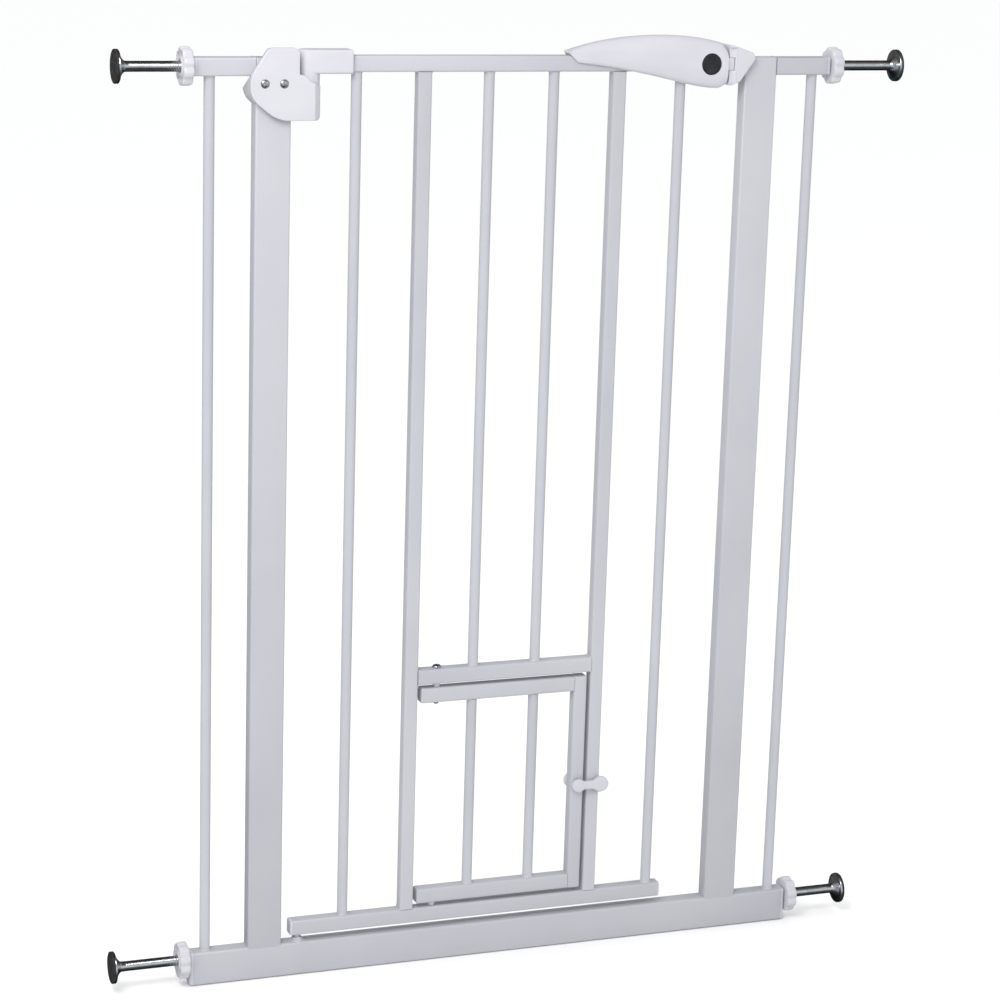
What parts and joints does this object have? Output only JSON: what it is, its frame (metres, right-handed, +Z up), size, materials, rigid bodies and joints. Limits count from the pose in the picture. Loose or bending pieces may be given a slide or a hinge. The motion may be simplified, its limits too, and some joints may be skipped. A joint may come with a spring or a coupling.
{
  "type": "pet gate",
  "caption": "Extra-tall pressure-fit walk-through pet gate with a swinging barred leaf, a teardrop latch handle, a small pet door and screw spindles to the walls.",
  "frame": {"origin": "middle of the base rail's underside, on the floor", "axes": "+Z up, +X to the right along the gate, the side with the door's turn latch faces -Y"},
  "size_m": [0.938, 0.0432, 1.0887],
  "materials": {
    "powder_white": "white powder coat, satin",
    "plastic_white": "moulded, semi-gloss",
    "plastic_black": "matt black",
    "chrome": "bright zinc plate",
    "steel": "zinc plated",
    "rubber": "matt grey-black"
  },
  "bodies": {
    "frame": {"base_rail": "powder_white", "left_upright": "powder_white", "right_upright": "powder_white", "right_upright_plug": "plastic_white", "left_top_stub": "powder_white", "right_top_stub": "powder_white", "left_side_bar": "powder_white", "right_side_bar": "powder_white", "left_base_plug": "plastic_white", "right_base_plug": "plastic_white", "left_stub_plug": "plastic_white", "right_stub_plug": "plastic_white", "hinge_housing_front": "plastic_white", "hinge_housing_rear": "plastic_white", "hinge_screw_1": "steel", "hinge_screw_2": "steel", "latch_keeper": "plastic_white", "lower_hinge_bush": "plastic_white", "lower_hinge_pin": "powder_white"},
    "gate_leaf": {"gate_top_rail": "powder_white", "gate_bottom_rail": "powder_white", "gate_cross_rail": "powder_white", "gate_left_stile": "powder_white", "gate_right_stile": "powder_white", "gate_bar_1": "powder_white", "gate_bar_2": "powder_white", "gate_bar_3": "powder_white", "gate_bar_4": "powder_white", "gate_bottom_cap_left": "plastic_white", "gate_bottom_cap_right": "plastic_white", "hinge_sleeve": "plastic_white", "handle_front_shell": "plastic_white", "handle_rear_shell": "plastic_white", "button_spring": "steel", "door_hinge_bolt": "steel", "door_hinge_pin": "steel", "door_bush_upper": "plastic_white", "door_bush_lower": "plastic_white"},
    "front_button": {"front_button": "plastic_black"},
    "rear_button": {"rear_button": "plastic_black"},
    "latch_bolt": {"latch_bolt": "plastic_white"},
    "small_door": {"door_top_rail": "powder_white", "door_bottom_rail": "powder_white", "door_stile": "powder_white", "door_bar_left": "powder_white", "door_bar_right": "powder_white"},
    "door_latch": {"door_latch_lever": "plastic_white", "door_latch_knob": "plastic_white"},
    "lower_left_handwheel": {"lower_left_handwheel": "plastic_white"},
    "lower_left_spindle": {"lower_left_spindle": "chrome", "lower_left_wall_pad": "rubber"},
    "upper_left_handwheel": {"upper_left_handwheel": "plastic_white"},
    "upper_left_spindle": {"upper_left_spindle": "chrome", "upper_left_wall_pad": "rubber"},
    "lower_right_handwheel": {"lower_right_handwheel": "plastic_white"},
    "lower_right_spindle": {"lower_right_spindle": "chrome", "lower_right_wall_pad": "rubber"},
    "upper_right_handwheel": {"upper_right_handwheel": "plastic_white"},
    "upper_right_spindle": {"upper_right_spindle": "chrome", "upper_right_wall_pad": "rubber"}
  },
  "joints": [
    {"name": "gate_swing", "type": "hinge", "parent": "frame", "child": "gate_leaf", "pos_m": [-0.248, 0, 0.05], "axis": [0, 0, 1], "range_deg": [-90, 90]},
    {"name": "front_button_press", "type": "slide", "parent": "gate_leaf", "child": "front_button", "axis": [0, 1, 0], "range_m": [0, 0.004], "stiffness_N_per_m": 400, "springref_m": -0.003},
    {"name": "rear_button_press", "type": "slide", "parent": "gate_leaf", "child": "rear_button", "axis": [0, -1, 0], "range_m": [0, 0.004]},
    {"name": "latch_bolt_slide", "type": "slide", "parent": "gate_leaf", "child": "latch_bolt", "axis": [-1, 0, 0], "range_m": [0, 0.006]},
    {"name": "small_door_swing", "type": "hinge", "parent": "gate_leaf", "child": "small_door", "pos_m": [-0.083, 0, 0.2], "axis": [0, 0, 1], "range_deg": [-90, 0]},
    {"name": "door_latch_turn", "type": "hinge", "parent": "small_door", "child": "door_latch", "pos_m": [0.0955, 0, 0.202], "axis": [0, -1, 0], "range_deg": [0, 90]},
    {"name": "lower_left_spindle_slide", "type": "slide", "parent": "frame", "child": "lower_left_spindle", "axis": [-1, 0, 0], "range_m": [-0.0195, 0.0195]},
    {"name": "lower_left_wheel_turn", "type": "hinge", "parent": "frame", "child": "lower_left_handwheel", "pos_m": [-0.383, 0, 0.03], "axis": [-1, 0, 0], "range_deg": [-4020, 4020]},
    {"name": "upper_left_spindle_slide", "type": "slide", "parent": "frame", "child": "upper_left_spindle", "axis": [-1, 0, 0], "range_m": [-0.0195, 0.0195]},
    {"name": "upper_left_wheel_turn", "type": "hinge", "parent": "frame", "child": "upper_left_handwheel", "pos_m": [-0.383, 0, 1.054], "axis": [-1, 0, 0], "range_deg": [-4020, 4020]},
    {"name": "lower_right_spindle_slide", "type": "slide", "parent": "frame", "child": "lower_right_spindle", "axis": [1, 0, 0], "range_m": [-0.0195, 0.0195]},
    {"name": "lower_right_wheel_turn", "type": "hinge", "parent": "frame", "child": "lower_right_handwheel", "pos_m": [0.383, 0, 0.03], "axis": [1, 0, 0], "range_deg": [-4020, 4020]},
    {"name": "upper_right_spindle_slide", "type": "slide", "parent": "frame", "child": "upper_right_spindle", "axis": [1, 0, 0], "range_m": [-0.0195, 0.0195]},
    {"name": "upper_right_wheel_turn", "type": "hinge", "parent": "frame", "child": "upper_right_handwheel", "pos_m": [0.383, 0, 1.054], "axis": [1, 0, 0], "range_deg": [-4020, 4020]}
  ],
  "couplings": [
    {"joint": "rear_button_press", "follows": "front_button_press", "ratio": 1},
    {"joint": "latch_bolt_slide", "follows": "front_button_press", "ratio": 1.5},
    {"joint": "lower_left_wheel_turn", "follows": "lower_left_spindle_slide", "rad_per_m": 3590.4},
    {"joint": "upper_left_wheel_turn", "follows": "upper_left_spindle_slide", "rad_per_m": 3590.4},
    {"joint": "lower_right_wheel_turn", "follows": "lower_right_spindle_slide", "rad_per_m": 3590.4},
    {"joint": "upper_right_wheel_turn", "follows": "upper_right_spindle_slide", "rad_per_m": 3590.4}
  ]
}
